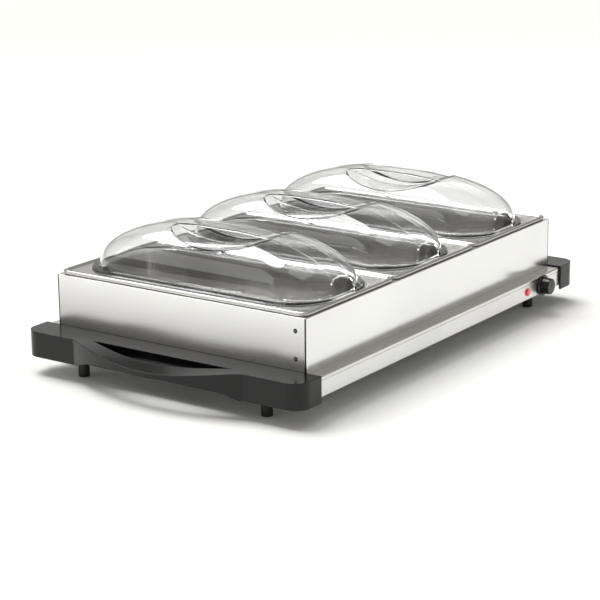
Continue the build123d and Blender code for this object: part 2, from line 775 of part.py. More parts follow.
for name, x in (("left_pan_divider", -pan_pitch / 2), ("right_pan_divider", pan_pitch / 2)):
    with BuildPart() as divider:
        with BuildSketch(Plane.XY.offset(frame_top - divider_leg)):
            with Locations((x, 0)):
                Rectangle(divider_width, 2 * divider_y)
        extrude(amount=divider_leg)
        with BuildSketch(Plane.XY.offset(frame_top - divider_leg)):
            with Locations((x, 0)):
                Rectangle(divider_width - 2 * sheet, 2 * divider_y)
        extrude(amount=divider_leg - sheet, mode=Mode.SUBTRACT)
        # tabs welded under the long panels' top flanges
        with BuildSketch(Plane.XY.offset(frame_top - 2 * sheet)):
            with Locations((x, 0)):
                Rectangle(divider_width, 2 * divider_reach)
                Rectangle(divider_width, 2 * (divider_y - divider_tab), mode=Mode.SUBTRACT)
        extrude(amount=sheet)
    divider.part.label = name
    export_step(divider.part, f"parts/{name}.step")

rivet_head_radius = 2.7
rivet_head_height = 1.5
rivet_crown = 1.2                  # small flat left on top of the domed head

with BuildPart() as corner_rivets:
    for side, y, z in rivet_places:
        seat = Plane(origin=(side * frame_x, y, z), x_dir=(0, 1, 0), z_dir=(side, 0, 0))
        with BuildSketch(seat):
            Circle(rivet_radius)
        extrude(amount=-3 * sheet)
        with BuildSketch(seat):
            Circle(rivet_head_radius)
        with BuildSketch(seat.offset(rivet_head_height)):
            Circle(rivet_crown)
        loft()
corner_rivets.part.label = "corner_rivets"
export_step(corner_rivets.part, "parts/corner_rivets.step")

# ================================================================ pans
pan_sheet = 0.8
rim_x = 90.1
rim_y = 170.2
rim_corner = 10.0
bead = 5.0                         # rolled outer edge
bead_round = 2.2
pan_flange_z = frame_top + 2.6     # top of the flat flange inside the bead
well_x = 70.5
well_y = 152.0
well_corner = 54.0
well_depth = 58.0
well_draft = 5.0
well_floor_radius = 10.0


def well_form(center_x, skin):
    """The drawn well as a solid: its inside with skin 0, its outside with the sheet's thickness."""
    with BuildPart() as form:
        with BuildSketch(Plane.XY.offset(pan_flange_z)):
            with Locations((center_x, 0)):
                RectangleRounded(2 * (well_x + skin), 2 * (well_y + skin), well_corner + skin)
        extrude(amount=-well_depth - skin, taper=well_draft)
        fillet(form.faces().sort_by(Axis.Z)[0].edges(), radius=well_floor_radius + skin)
    return form


for place, x in pan_places:
    well_outside = well_form(x, pan_sheet)
    well_inside = well_form(x, 0.0)
    with BuildPart() as pan:
        # rolled rim
        with BuildSketch(Plane.XY.offset(frame_top)):
            with Locations((x, 0)):
                RectangleRounded(2 * rim_x, 2 * rim_y, rim_corner)
                RectangleRounded(
                    2 * (rim_x - bead),
                    2 * (rim_y - bead),
                    rim_corner - bead,
                    mode=Mode.SUBTRACT,
                )
        extrude(amount=bead)
        fillet(pan.faces().filter_by(Axis.Z).edges(), radius=bead_round)
        # flat flange, then the drawn well
        with BuildSketch(Plane.XY.offset(pan_flange_z - pan_sheet)):
            with Locations((x, 0)):
                RectangleRounded(2 * rim_x - bead, 2 * rim_y - bead, rim_corner - bead / 2)
        extrude(amount=pan_sheet)
        add(well_outside.part)
        add(well_inside.part, mode=Mode.SUBTRACT)
    pan.part.label = f"pan_{place}"
    export_step(pan.part, f"parts/pan_{place}.step")

# ================================================================ lids
lid_wall = 2.2
lid_base = pan_flange_z            # the lid's flange rests on the pan's flange
lid_x = 76.8
lid_y = 163.4
lid_corner = 56.0
dome_x = 65.3
dome_y = 160.0
dome_corner = 52.0
dome_base = lid_base + lid_wall
dome_power = 2.25                  # a little fuller than an ellipse
dome_levels = (0.0, 0.3, 0.55, 0.75, 0.88, 0.96, 0.99)
ridge_x = 14.4                     # the lifting ridge left between two finger scoops
scoop_y = 65.0
scoop_floor = 156.5
scoop_tip = 169.2
notch_width = 44.0                 # arched serving-spoon notch in the front end
notch_height = 20.0
notch_depth = 45.0                 # the cut runs in past the dome's sloping end
notch_spring_z = dome_base + 9.0   # where the notch's upright sides turn into its arch


def dome_form(center_x, inset):
    """The dome as a solid, drawn in by inset on every side, with its two finger scoops."""
    rise = (overall_height - lid_base - inset) / dome_levels[-1]
    with BuildPart() as form:
        for level in dome_levels:
            shrink = (1 - level**dome_power) ** (1 / dome_power)
            half_x = (dome_x - inset) * shrink
            half_y = (dome_y - inset) * shrink
            with BuildSketch(Plane.XY.offset(lid_base + rise * level)):
                with Locations((center_x, 0)):
                    RectangleRounded(2 * half_x, 2 * half_y, (dome_corner - inset) * shrink)
        loft()
        # each scoop has an upright wall beside the ridge and a floor that hangs between its tips
        for side in both_sides:
            with BuildSketch(Plane.YZ.offset(center_x + side * (ridge_x - inset))):
                with BuildLine():
                    ThreePointArc(
                        (-scoop_y - inset, scoop_tip - inset),
                        (0, scoop_floor - inset),
                        (scoop_y + inset, scoop_tip - inset),
                    )
                    Polyline(
                        (scoop_y + inset, scoop_tip - inset),
                        (scoop_y + inset, overall_height + inset),
                        (-scoop_y - inset, overall_height + inset),
                        (-scoop_y - inset, scoop_tip - inset),
                    )
                make_face()
            extrude(amount=side * dome_x, mode=Mode.SUBTRACT)
    return form


for place, x in pan_places:
    lid_outside = dome_form(x, 0.0)
    lid_inside = dome_form(x, lid_wall)
    with BuildPart() as lid:
        with BuildSketch(Plane.XY.offset(lid_base)):
            with Locations((x, 0)):
                RectangleRounded(2 * lid_x, 2 * lid_y, lid_corner)
        extrude(amount=lid_wall)
        add(lid_outside.part)
        add(lid_inside.part, mode=Mode.SUBTRACT)
        # serving-spoon notch
        with BuildSketch(across(x, -lid_y + notch_depth, 0, -1)):
            with BuildLine():
                Polyline(
                    (notch_width / 2, notch_spring_z),
                    (notch_width / 2, dome_base),
                    (-notch_width / 2, dome_base),
                    (-notch_width / 2, notch_spring_z),
                )
                ThreePointArc(
                    (-notch_width / 2, notch_spring_z),
                    (0, dome_base + notch_height),
                    (notch_width / 2, notch_spring_z),
                )
            make_face()
        extrude(amount=notch_depth, mode=Mode.SUBTRACT)
    lid.part.label = f"lid_{place}"
    export_step(lid.part, f"parts/lid_{place}.step")
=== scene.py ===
import json
import math

import bmesh
import bpy
from mathutils import Matrix, Vector


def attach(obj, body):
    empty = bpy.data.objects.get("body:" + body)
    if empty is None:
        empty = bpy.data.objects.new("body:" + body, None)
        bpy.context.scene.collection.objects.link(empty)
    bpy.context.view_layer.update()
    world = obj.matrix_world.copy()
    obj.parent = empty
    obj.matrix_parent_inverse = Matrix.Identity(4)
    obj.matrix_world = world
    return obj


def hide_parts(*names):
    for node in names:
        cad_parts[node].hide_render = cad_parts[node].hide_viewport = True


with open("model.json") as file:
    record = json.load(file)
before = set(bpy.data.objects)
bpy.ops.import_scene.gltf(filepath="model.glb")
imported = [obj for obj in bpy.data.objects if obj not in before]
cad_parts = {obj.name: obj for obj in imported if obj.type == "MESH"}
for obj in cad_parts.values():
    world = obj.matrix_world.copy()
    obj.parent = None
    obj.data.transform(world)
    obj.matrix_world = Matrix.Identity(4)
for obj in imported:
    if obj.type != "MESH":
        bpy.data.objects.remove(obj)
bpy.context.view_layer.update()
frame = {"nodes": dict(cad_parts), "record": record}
scene = bpy.context.scene
MM = 0.001

# ---------------------------------------------------------------- the object's own dimensions, in mm
tray_height = 50.6
frame_top = 112.0
pan_places = [("left", -180.8), ("middle", 0.0), ("right", 180.8)]
both_sides = (-1, 1)


# ---------------------------------------------------------------- shader helpers
# scale of a texture's coordinates on each axis: the grain runs along the axis with the small one
along_x = (0.02, 1.0, 1.0)
along_y = (1.0, 0.02, 1.0)
no_grain = (1.0, 1.0, 1.0)


def new_material(name):
    material = bpy.data.materials.new(name)
    material.use_nodes = True
    tree = material.node_tree
    shader = tree.nodes["Principled BSDF"]
    return material, tree, shader


def add_node(tree, kind, **settings):
    node = tree.nodes.new(kind)
    for key, value in settings.items():
        if key in node.inputs:
            node.inputs[key].default_value = value
        else:
            setattr(node, key, value)
    return node


def object_space(tree, scale):
    """Object coordinates multiplied by scale, for grain that lies along one axis."""
    coords = tree.nodes.new("ShaderNodeTexCoord")
    mapping = tree.nodes.new("ShaderNodeMapping")
    mapping.inputs["Scale"].default_value = scale
    tree.links.new(coords.outputs["Object"], mapping.inputs["Vector"])
    return mapping.outputs["Vector"]


def noise(tree, vector, scale, detail=4.0, roughness=0.55):
    node = add_node(tree, "ShaderNodeTexNoise", Scale=scale, Detail=detail, Roughness=roughness)
    tree.links.new(vector, node.inputs["Vector"])
    return node.outputs["Fac"]


def ranged(tree, value, low, high, from_low=0.3, from_high=0.7):
    node = tree.nodes.new("ShaderNodeMapRange")
    node.inputs["From Min"].default_value = from_low
    node.inputs["From Max"].default_value = from_high
    node.inputs["To Min"].default_value = low
    node.inputs["To Max"].default_value = high
    tree.links.new(value, node.inputs["Value"])
    return node.outputs["Result"]


def ramped(tree, value, stops):
    node = tree.nodes.new("ShaderNodeValToRGB")
    ramp = node.color_ramp
    while len(ramp.elements) < len(stops):
        ramp.elements.new(0.5)
    for element, (place, colour) in zip(ramp.elements, stops):
        element.position = place
        element.color = (*colour, 1.0)
    tree.links.new(value, node.inputs["Fac"])
    return node.outputs["Color"]


def bumped(tree, shader, height, distance, edge=0.0012):
    """Fine relief, laid over edges that are shaded as if rounded by the edge radius."""
    rounding = tree.nodes.new("ShaderNodeBevel")
    rounding.samples = 6
    rounding.inputs["Radius"].default_value = edge
    node = tree.nodes.new("ShaderNodeBump")
    tree.links.new(rounding.outputs["Normal"], node.inputs["Normal"])
    node.inputs["Distance"].default_value = distance
    tree.links.new(height, node.inputs["Height"])
    tree.links.new(node.outputs["Normal"], shader.inputs["Normal"])


def brushed_metal(name, colour, roughness, stretch, grain=900.0, bump=0.00001, spread=0.06, blotch=0.06):
    """Sheet metal brushed along the axis that stretch leaves small."""
    material, tree, shader = new_material(name)
    shader.inputs["Metallic"].default_value = 1.0
    streaks = noise(tree, object_space(tree, stretch), grain, 5.0, 0.6)
    clouds = noise(tree, object_space(tree, no_grain), 9.0, 3.0, 0.5)
    dark = tuple(c * (1 - blotch) for c in colour)
    light = tuple(min(1.0, c * (1 + blotch)) for c in colour)
    tint = ramped(tree, streaks, [(0.3, dark), (0.7, light)])
    mix = add_node(tree, "ShaderNodeMix", data_type="RGBA", blend_type="MULTIPLY")
    mix.inputs["Factor"].default_value = 1.0
    tree.links.new(tint, mix.inputs["A"])
    cloud_tint = ramped(tree, clouds, [(0.3, (0.93, 0.93, 0.94)), (0.7, (1.0, 1.0, 1.0))])
    tree.links.new(cloud_tint, mix.inputs["B"])
    tree.links.new(mix.outputs["Result"], shader.inputs["Base Color"])
    rough = ranged(tree, streaks, roughness - spread / 2, roughness + spread)
    tree.links.new(rough, shader.inputs["Roughness"])
    bumped(tree, shader, streaks, bump)
    return material


def polished_metal(name, colour, roughness, smear=0.08):
    material, tree, shader = new_material(name)
    shader.inputs["Metallic"].default_value = 1.0
    clouds = noise(tree, object_space(tree, no_grain), 40.0, 5.0, 0.6)
    dark = tuple(c * 0.95 for c in colour)
    tree.links.new(ramped(tree, clouds, [(0.3, dark), (0.7, colour)]), shader.inputs["Base Color"])
    tree.links.new(ranged(tree, clouds, roughness, roughness + smear), shader.inputs["Roughness"])
    return material


def moulded_plastic(name, colour, roughness, pebble=0.00002, grain=1400.0, coat=0.0, gloss=0.5):
    material, tree, shader = new_material(name)
    fine = noise(tree, object_space(tree, no_grain), grain, 3.0, 0.5)
    broad = noise(tree, object_space(tree, no_grain), 14.0, 4.0, 0.55)
    dark = tuple(c * 0.85 for c in colour)
    light = tuple(min(1.0, c * 1.15) for c in colour)
    tree.links.new(ramped(tree, broad, [(0.3, dark), (0.7, light)]), shader.inputs["Base Color"])
    tree.links.new(ranged(tree, broad, roughness - 0.03, roughness + 0.05), shader.inputs["Roughness"])
    shader.inputs["Specular IOR Level"].default_value = gloss
    shader.inputs["Coat Weight"].default_value = coat
    shader.inputs["Coat Roughness"].default_value = 0.08
    bumped(tree, shader, fine, pebble)
    return material


def clear_plastic(name, colour, roughness, ior):
    """Clear moulding: faint handling haze in its roughness, nothing painted on."""
    material, tree, shader = new_material(name)
    haze = noise(tree, object_space(tree, no_grain), 22.0, 4.0, 0.6)
    dark = tuple(c * 0.985 for c in colour)
    tree.links.new(ramped(tree, haze, [(0.35, dark), (0.75, colour)]), shader.inputs["Base Color"])
    tree.links.new(ranged(tree, haze, 0.0, roughness), shader.inputs["Roughness"])
    shader.inputs["Transmission Weight"].default_value = 1.0
    shader.inputs["IOR"].default_value = ior
    return material



# ---------------------------------------------------------------- looks, one for each material slot
looks = {
    "tray_steel": brushed_metal("tray_steel", (0.74, 0.73, 0.70), 0.22, along_x, bump=0.000002),
    "rail_satin": brushed_metal(
        "rail_satin", (0.80, 0.80, 0.795), 0.30, along_x, bump=0.000001, blotch=0.015,
    ),
    "frame_steel": brushed_metal(
        "frame_steel", (0.85, 0.85, 0.845), 0.22, along_x, bump=0.0000006, blotch=0.012, spread=0.03,
    ),
    "pan_steel": brushed_metal(
        "pan_steel", (0.60, 0.59, 0.575), 0.22, along_y, bump=0.0000001, blotch=0.02, spread=0.03,
    ),
    "rivet_steel": polished_metal("rivet_steel", (0.12, 0.12, 0.12), 0.12),
    "galvanised_sheet": brushed_metal(
        "galvanised_sheet", (0.55, 0.56, 0.57), 0.42, no_grain, grain=160.0, blotch=0.12,
    ),
    "black_moulding": moulded_plastic(
        "black_moulding", (0.003, 0.003, 0.004), 0.16, pebble=0.000002, gloss=0.36,
    ),
    "foot_rubber": moulded_plastic("foot_rubber", (0.006, 0.006, 0.006), 0.45),
    "zinc_screw": polished_metal("zinc_screw", (0.70, 0.70, 0.72), 0.28),
    "spreader_aluminium": brushed_metal("spreader_aluminium", (0.80, 0.80, 0.81), 0.38, along_x),
    "element_sheath": brushed_metal("element_sheath", (0.30, 0.29, 0.28), 0.45, no_grain, grain=300.0),
    "phenolic": moulded_plastic("phenolic", (0.08, 0.07, 0.06), 0.5),
    "shaft_steel": polished_metal("shaft_steel", (0.55, 0.55, 0.56), 0.3),
    "knob_rim": polished_metal("knob_rim", (0.07, 0.07, 0.075), 0.12),
    "knob_black": moulded_plastic("knob_black", (0.004, 0.004, 0.005), 0.2),
    "lamp_red": moulded_plastic("lamp_red", (0.45, 0.03, 0.06), 0.25, coat=0.4),
    "lamp_lens": moulded_plastic("lamp_lens", (0.75, 0.06, 0.10), 0.12, coat=0.6),
    "bulb_glass": clear_plastic("bulb_glass", (0.95, 0.7, 0.5), 0.03, 1.5),
    "lead_sleeve": moulded_plastic("lead_sleeve", (0.75, 0.72, 0.66), 0.6),
    "lid_clear": clear_plastic("lid_clear", (0.945, 0.953, 0.962), 0.02, 1.49),
}


def with_painted_shade(look, name, low_z, high_z, foot, brow):
    """A copy of a metal look with painted shade: its tint deepens down the sheet, from brow at high_z to foot
    at low_z.
    """
    material = look.copy()
    material.name = name
    tree = material.node_tree
    shader = tree.nodes["Principled BSDF"]
    coords = tree.nodes.new("ShaderNodeTexCoord")
    parts = tree.nodes.new("ShaderNodeSeparateXYZ")
    tree.links.new(coords.outputs["Object"], parts.inputs["Vector"])
    height = ranged(tree, parts.outputs["Z"], 0.0, 1.0, low_z * MM, high_z * MM)
    middle = tuple((a + b) / 2 for a, b in zip(foot, brow))
    tint = ramped(tree, height, [(0.0, foot), (0.45, middle), (1.0, brow)])
    mix = add_node(tree, "ShaderNodeMix", data_type="RGBA", blend_type="MULTIPLY")
    mix.inputs["Factor"].default_value = 1.0
    link = shader.inputs["Base Color"].links[0]
    tree.links.new(link.from_socket, mix.inputs["A"])
    tree.links.new(tint, mix.inputs["B"])
    tree.links.new(mix.outputs["Result"], shader.inputs["Base Color"])
    return material


# painted shade on the end panels: their colour is multiplied down to end_painted_shade_foot at the tray's
# height, and left unchanged (end_brow) at the frame's top
end_painted_shade_foot = (0.44, 0.435, 0.43)
end_brow = (1.0, 1.0, 1.0)
end_panel_painted_shade_look = with_painted_shade(looks["frame_steel"], "end_panel_steel_painted_shade", tray_height, frame_top, end_painted_shade_foot, end_brow)

# the pilot lamp is lit
for look, glow in (("lamp_lens", 0.5), ("lamp_red", 0.15)):
    lamp_shader = looks[look].node_tree.nodes["Principled BSDF"]
    lamp_shader.inputs["Emission Color"].default_value = (0.9, 0.07, 0.13, 1.0)
    lamp_shader.inputs["Emission Strength"].default_value = glow

slot_of = {row["node"]: row["material_slot"] for row in frame["record"]["subparts"]}
for node, obj in frame["nodes"].items():
    for index in range(len(obj.material_slots)):
        obj.material_slots[index].material = looks[slot_of[node]]
        # the end panels take the copy with painted shade
        if node.endswith("_end_panel"):
            obj.material_slots[index].material = end_panel_painted_shade_look


# ---------------------------------------------------------------- mesh helpers
weld = 0.00002                      # metres, points closer than this become one


def piece(name, verts, faces, body, slot, nodes, smooth_angle=40.0):
    """A new mesh, given in mm, that rides on a body and stands for any CAD nodes named."""
    mesh = bpy.data.meshes.new(name)
    mesh.from_pydata([tuple(c * MM for c in v) for v in verts], [], faces)
    work = bmesh.new()
    work.from_mesh(mesh)
    bmesh.ops.remove_doubles(work, verts=work.verts, dist=weld)
    bmesh.ops.recalc_face_normals(work, faces=work.faces)
    work.to_mesh(mesh)
    work.free()
    mesh.materials.append(looks[slot])
    obj = bpy.data.objects.new(name, mesh)
    scene.collection.objects.link(obj)
    for polygon in mesh.polygons:
        polygon.use_smooth = True
    mesh.set_sharp_from_angle(angle=math.radians(smooth_angle))
    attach(obj, body)
    if nodes:
        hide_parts(*nodes)
    return obj


def rounded_outline(half_x, half_y, radius, corner_steps=12, side_steps=8):
    """Points round a rounded rectangle, the same number whatever its size."""
    radius = min(radius, half_x, half_y)
    points = []
    centres = [(1, -1), (1, 1), (-1, 1), (-1, -1)]
    for quarter, (sx, sy) in enumerate(centres):
        cx = sx * (half_x - radius)
        cy = sy * (half_y - radius)
        for step in range(corner_steps + 1):
            turn = math.radians(-90 + 90 * quarter + 90 * step / corner_steps)
            points.append((cx + radius * math.cos(turn), cy + radius * math.sin(turn)))
        nx, ny = centres[(quarter + 1) % 4]
        turn = math.radians(90 * quarter)
        end_x = nx * (half_x - radius) + radius * math.cos(turn)
        end_y = ny * (half_y - radius) + radius * math.sin(turn)
        start_x, start_y = points[-1]
        for step in range(1, side_steps):
            t = step / side_steps
            points.append((start_x + (end_x - start_x) * t, start_y + (end_y - start_y) * t))
    return points


def loft_rings(rings, cap_first=False, cap_last=False):
    """Quads between successive rings of the same number of points."""
    count = len(rings[0])
    verts = [point for ring in rings for point in ring]
    faces = []
    total = len(rings)
    for row in range(total - 1):
        below = row * count
        above = below + count
        for i in range(count):
            j = (i + 1) % count
            faces.append((below + i, below + j, above + j, above + i))
    if cap_first:
        faces.append(tuple(range(count)))
    if cap_last:
        faces.append(tuple(range((total - 1) * count, total * count)))
    return verts, faces


def arc_points(centre, radius, start, end, steps):
    """Points along an arc in a section, angles in degrees."""
    out = []
    for step in range(steps + 1):
        turn = math.radians(start + (end - start) * step / steps)
        out.append((centre[0] + radius * math.cos(turn), centre[1] + radius * math.sin(turn)))
    return out


# ---------------------------------------------------------------- pans
rim_x = 90.1
rim_y = 170.2
rim_corner = 10.0
flange_z = frame_top + 2.6
pan_sheet = 0.8
well_x = 70.5
well_y = 152.0
well_corner = 54.0
well_depth = 58.0
well_draft = math.tan(math.radians(5.0))
well_floor_radius = 10.0
edge_radius = 2.4
bead_radius = 2.5
# past its arc the bead runs down to the flange: (distance in beyond the bead's radius, rise above the flange)
bead_run_out = ((2.3, 0.55), (3.3, 0.0))
bead_turn = (330, 55)               # degrees, from the tucked-in end round the outside to just past the top
bead_steps = 14
lip_turn = (90, 6)                  # degrees, from the flat over into the well's wall
lip_steps = 6
wall_steps = 6
toe_turn = (185, 270)               # degrees, from the well's wall round to its floor
toe_steps = 7
flange_inner = 3.0                  # the flange's flat ends this far outside the well
flange_outer = 6.0                  # and starts this far inside the rim
flange_corner = 6.0                 # corner radius at the outer edge of the flat
least_corner = 3.0
floor_rings = (0.8, 0.5, 0.2)       # rings of the floor, as fractions of its outline
floor_dish = 0.25                   # the floor falls by this much towards its middle
pan_smoothing = 60.0


def pan_section():
    """The pan's section from the bead's tucked-in end to the floor, as (outline kind, inset, z)."""
    rows = []
    for across, z in arc_points((bead_radius, frame_top + bead_radius), bead_radius, *bead_turn, bead_steps):
        rows.append(("rim", across, z))
    for beyond, rise in bead_run_out:
        rows.append(("rim", bead_radius + beyond, flange_z + rise))
    # for the flat the second value is the fraction of the way across it
    rows.append(("mid", 0.5, flange_z))
    for across, z in arc_points((-edge_radius, flange_z - edge_radius), edge_radius, *lip_turn, lip_steps):
        rows.append(("well", across, z))
    for step in range(1, wall_steps + 1):
        depth = edge_radius + (well_depth - well_floor_radius - edge_radius) * step / wall_steps
        rows.append(("well", depth * well_draft, flange_z - depth))
    start = (well_depth - well_floor_radius) * well_draft
    floor_z = flange_z - well_depth
    toe_centre = (start + well_floor_radius, floor_z + well_floor_radius)
    for across, z in arc_points(toe_centre, well_floor_radius, *toe_turn, toe_steps)[1:]:
        rows.append(("well", across, z))
    return rows


def pan_outline(kind, inset):
    """The pan's plan outline: at its rim, part of the way across the flange's flat, or at its well."""
    if kind == "rim":
        return rounded_outline(rim_x - inset, rim_y - inset, max(rim_corner - inset, least_corner))
    if kind == "mid":
        t = inset
        half_x = (rim_x - flange_outer) * (1 - t) + (well_x + flange_inner) * t
        half_y = (rim_y - flange_outer) * (1 - t) + (well_y + flange_inner) * t
        return rounded_outline(half_x, half_y, flange_corner * (1 - t) + (well_corner + flange_inner) * t)
    return rounded_outline(well_x - inset, well_y - inset, well_corner - inset)


for place, x in pan_places:
    rings = []
    for kind, inset, z in pan_section():
        rings.append([(x + px, py, z) for px, py in pan_outline(kind, inset)])
    inner = rings[-1]
    for shrink in floor_rings:
        fallen_z = inner[0][2] - floor_dish * (1 - shrink)
        rings.append([(x + (px - x) * shrink, py * shrink, fallen_z) for px, py, _ in inner])
    verts, faces = loft_rings(rings, cap_last=True)
    pan = piece(
        f"pan_{place}_drawn",
        verts,
        faces,
        f"pan_{place}_body",
        "pan_steel",
        [f"pan_{place}"],
        pan_smoothing,
    )
    skin = pan.modifiers.new("sheet", "SOLIDIFY")
    skin.thickness = pan_sheet * MM
    skin.offset = -1.0

# ---------------------------------------------------------------- lids
lid_wall = 2.2
lid_x = 76.8
lid_y = 163.4
lid_corner = 56.0
dome_x = 65.3
dome_y = 160.0
dome_corner = 52.0
dome_power = 2.25
crest_z = 174.0
scoop_half = 65.0
scoop_floor = 156.5
ridge_half = 14.4
edge_round = 1.2
scoop_centre = -9.0
foot_fillet = 2.5
least_scoop = 12.0                  # a scoop needs at least this much dome beside the ridge
wall_lean = 0.9                     # sideways run of the scoop's steep wall
least_floor = 0.2                   # least width of the scoop's floor
shoulder_step = 1.5                 # width of the strip beside the ridge where there is no scoop
least_width = 0.001
height_halvings = 26                # halvings when the dome's height is sought
edge_halvings = 24                  # halvings when the scoop's outer edge is sought
ridge_steps = 4
round_steps = 3
floor_steps = 9
side_steps = 18
end_steps = 44
tip_steps = 6
tip_spacing = 0.8


def half_width(y, inset):
    """Half width of the dome's foot at a distance y along the lid."""
    corner = dome_corner - inset
    past = abs(y) - (dome_y - inset - corner)
    if past <= 0:
        return dome_x - inset
    return dome_x - inset - corner + math.sqrt(max(corner**2 - past**2, 0.0))


def dome_z(x, y, inset):
    """Height of the plain dome at a point, without its scoops."""
    half_x = dome_x - inset
    half_y = dome_y - inset
    corner = dome_corner - inset
    rise = crest_z - flange_z - inset
    low, high = 0.0, 1.0
    for _ in range(height_halvings):
        s = (low + high) / 2
        dx = max(abs(x) - (half_x - corner) * s, 0.0)
        dy = max(abs(y) - (half_y - corner) * s, 0.0)
        if math.hypot(dx, dy) <= corner * s:
            high = s
        else:
            low = s
    return flange_z + max(rise * max(1 - high**dome_power, 0.0) ** (1 / dome_power), lid_wall + foot_fillet)


def scoop_z(y, inset):
    """Hanging floor of the finger scoops, which runs out at the two tips."""
    reach = scoop_half + inset
    y -= scoop_centre
    tip = dome_z(ridge_half - inset, reach, inset)
    return scoop_floor - inset + (tip - scoop_floor + inset) * (y / reach) ** 2


def lid_half_section(y, inset):
    """Points from the crest down to the dome's foot on the +X side."""
    ridge = ridge_half - inset
    width = half_width(y, inset)
    crest = dome_z(ridge, y, inset)
    inside = abs(y - scoop_centre) < scoop_half + inset and width > ridge + least_scoop
    floor_z = min(scoop_z(y, inset), crest) if inside else crest
    drop = crest - floor_z
    rounding = min(edge_round, drop / 2)
    scale = min(1.0, width / (ridge + least_scoop))
    ridge *= scale
    points = []
    for step in range(ridge_steps):
        x = (ridge - rounding) * step / ridge_steps
        points.append((x, dome_z(x, y, inset)))
    for step in range(round_steps + 1):
        turn = math.pi / 2 * step / round_steps
        x = ridge - rounding + rounding * math.sin(turn)
        points.append((x, crest - rounding + rounding * math.cos(turn)))
    foot = ridge + wall_lean * scale
    for step in range(round_steps + 1):
        turn = math.pi / 2 * step / round_steps
        x = foot + rounding - rounding * math.cos(turn)
        points.append((x, floor_z + rounding - rounding * math.sin(turn)))
    start = points[-1][0]
    low, high = start, width
    for _ in range(edge_halvings):
        middle = (low + high) / 2
        if dome_z(middle, y, inset) > floor_z:
            low = middle
        else:
            high = middle
    edge = max(low, start + least_floor * scale) if inside else start + shoulder_step * scale
    for step in range(1, floor_steps + 1):
        x = start + (edge - start) * step / floor_steps
        points.append((x, floor_z if inside else dome_z(x, y, inset)))
    begin = math.asin(min(edge / max(width, least_width), 1.0))
    for step in range(1, side_steps + 1):
        x = width * math.sin(begin + (math.pi / 2 - begin) * step / side_steps)
        points.append((x, min(dome_z(x, y, inset), points[-1][1])))
    return points


def lid_stations():
    """Places along the lid: close together at the ends and at the tips of the scoops."""
    places = {0.0}
    for step in range(1, end_steps + 1):
        fraction = round(math.sin(math.pi / 2 * step / end_steps), 5)
        places.update((fraction, -fraction))
    for end in both_sides:
        for step in range(-tip_steps, tip_steps + 1):
            places.add(round((scoop_centre + end * scoop_half + step * tip_spacing) / dome_y, 5))
    return sorted(places)


def lid_grid(inset):
    """Rows of points across the lid, one row for each station."""
    rows = []
    for fraction in lid_stations():
        y = fraction * (dome_y - inset)
        half = lid_half_section(y, inset)
        rows.append([(-x, y, z) for x, z in reversed(half[1:])] + [(x, y, z) for x, z in half])
    return rows


def border(rows):
    """The grid's outer loop of points, anticlockwise from above."""
    loop = [row[-1] for row in rows]
    loop += list(reversed(rows[-1][:-1]))
    loop += [row[0] for row in reversed(rows[:-1])]
    loop += rows[0][1:-1]
    return loop


def foot_offset(point, away_x, away_y, corner):
    """The point of a larger rounded outline that lies outward of a point of the dome's foot."""
    x, y, _ = point
    core_x = dome_x - dome_corner
    core_y = dome_y - dome_corner
    dx = max(abs(x) - core_x, 0.0)
    dy = max(abs(y) - core_y, 0.0)
    length = math.hypot(dx, dy) or 1.0
    new_x = (away_x - corner) * min(abs(x) / core_x, 1.0) + corner * dx / length
    new_y = (away_y - corner) * min(abs(y) / core_y, 1.0) + corner * dy / length
    return math.copysign(new_x, x), math.copysign(new_y, y)


fillet_steps = 4
# rounded rim of the flange, as (distance out from its outline, drop below its top)
flange_edge = ((-1.0, 0.0), (-0.35, 0.3), (0.0, 1.1), (-0.35, 1.9), (-1.0, lid_wall))
# rounded mouth of the dome, as (distance out from the dome's foot, rise above the flange's underside)
mouth_edge = ((0.4, 0.0), (-1.2, 0.5), (-2.0, 1.8))


def lid_mesh():
    """One lid about the origin: outer dome, inner dome and the flange that joins them."""
    verts, faces = [], []

    def add_grid(rows):
        start = len(verts)
        count = len(rows[0])
        for row in rows:
            verts.extend(row)
        for r in range(len(rows) - 1):
            for c in range(count - 1):
                a = start + r * count + c
                faces.append((a, a + 1, a + count + 1, a + count))

    outer_rows = lid_grid(0.0)
    inner_rows = lid_grid(lid_wall)
    add_grid(outer_rows)
    add_grid(inner_rows)
    outer_loop = border(outer_rows)
    inner_loop = border(inner_rows)
    top = flange_z + lid_wall
    rings = [outer_loop]
    for step in range(1, fillet_steps + 1):
        turn = math.pi / 2 * step / fillet_steps
        away = foot_fillet * (1 - math.cos(turn))
        z = top + foot_fillet * (1 - math.sin(turn))
        ring = []
        for point in outer_loop:
            px, py = foot_offset(point, dome_x + away, dome_y + away, dome_corner + away)
            ring.append((px, py, z))
        rings.append(ring)
    for away, drop in flange_edge:
        z = top - drop
        ring = []
        for point in outer_loop:
            px, py = foot_offset(point, lid_x + away, lid_y + away, lid_corner + away)
            ring.append((px, py, z))
        rings.append(ring)
    for away, rise in mouth_edge:
        z = flange_z + rise
        ring = []
        for point in outer_loop:
            px, py = foot_offset(point, dome_x + away, dome_y + away, dome_corner + away)
            ring.append((px, py, z))
        rings.append(ring)
    rings.append(inner_loop)
    start = len(verts)
    count = len(outer_loop)
    for ring in rings:
        verts.extend(ring)
    for r in range(len(rings) - 1):
        for c in range(count):
            d = (c + 1) % count
            a = start + r * count
            faces.append((a + c, a + d, a + count + d, a + count + c))
    return verts, faces


lid_verts, lid_faces = lid_mesh()

# serving-spoon notch, cut out of the front end with a bell-shaped tool
notch_half = 22.0
notch_top = 134.5
notch_flare = 7.0
notch_low = flange_z + lid_wall + 0.1
notch_spring = notch_low + 6.0      # where the flare ends and the arch begins
flare_steps = 8
flare_power = 2.2
arch_steps = 12
arch_power = 0.8
notch_ahead = 20.0                  # how far the cutting tool reaches before and behind the lid's end
notch_behind = 50.0
lid_smoothing = 33.0


